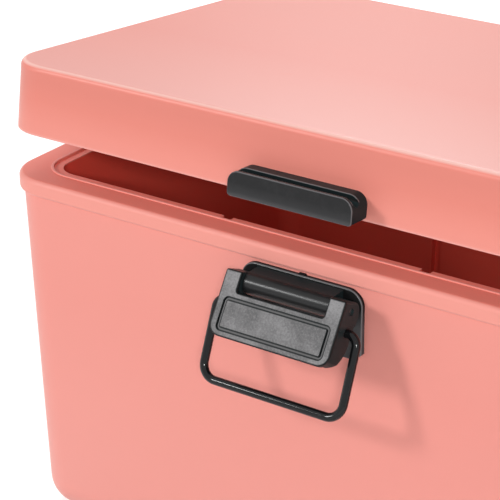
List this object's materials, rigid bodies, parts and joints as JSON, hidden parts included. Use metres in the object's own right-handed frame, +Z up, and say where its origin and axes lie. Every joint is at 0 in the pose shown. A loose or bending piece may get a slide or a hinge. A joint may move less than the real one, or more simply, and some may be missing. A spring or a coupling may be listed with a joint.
{
  "type": "latched storage box",
  "caption": "Rectangular double-walled box with a thick hinged lid, a wide rim, divider slots and a front over-centre draw latch with a wire bail.",
  "frame": {"origin": "middle of the flat underside of the box", "axes": "+X to the right along the long side, +Y to the rear where the hinges are, +Z up; the latch faces -Y"},
  "size_m": [0.31, 0.2561, 0.2206],
  "materials": {
    "outer_shell": "satin moulded plastic",
    "inner_liner": "satin moulded plastic",
    "lid_cover": "satin moulded plastic",
    "lid_liner": "satin moulded plastic",
    "insulation": "rigid foam",
    "seal": "soft seal",
    "latch_plate": "semi-gloss black",
    "lever": "spark-textured grey",
    "keeper": "satin dark grey",
    "wire": "gloss black coating",
    "steel": "zinc plated",
    "hinge_leaf": "satin black",
    "bush": "black nylon"
  },
  "bodies": {
    "box": {"outer_shell": "outer_shell", "inner_liner": "inner_liner", "body_insulation": "insulation", "latch_base": "latch_plate", "latch_screws": "steel", "lever_pin": "steel", "hinge_body_leaf_left": "hinge_leaf", "hinge_body_leaf_right": "hinge_leaf", "hinge_pin_left": "steel", "hinge_pin_right": "steel", "hinge_body_screws": "steel"},
    "lid": {"lid_cover": "lid_cover", "lid_liner": "lid_liner", "lid_insulation": "insulation", "lid_seal": "seal", "keeper": "keeper", "keeper_screws": "steel", "hinge_lid_leaf_left": "hinge_leaf", "hinge_lid_leaf_right": "hinge_leaf", "hinge_lid_screws": "steel"},
    "lever": {"latch_lever": "lever", "bail_bushes": "bush"},
    "bail": {"bail": "wire"}
  },
  "joints": [
    {"name": "lid_hinge", "type": "hinge", "parent": "box", "child": "lid", "pos_m": [0, 0.1161, 0.17], "axis": [-1, 0, 0], "range_deg": [-5.14, 95]},
    {"name": "lever_pivot", "type": "hinge", "parent": "box", "child": "lever", "pos_m": [0, -0.1173, 0.1554], "axis": [-1, 0, 0], "range_deg": [-32.6, 67.4]},
    {"name": "bail_swing", "type": "hinge", "parent": "lever", "child": "bail", "pos_m": [0, -0.12039, 0.14741], "axis": [-1, 0, 0], "range_deg": [0, 110]}
  ]
}
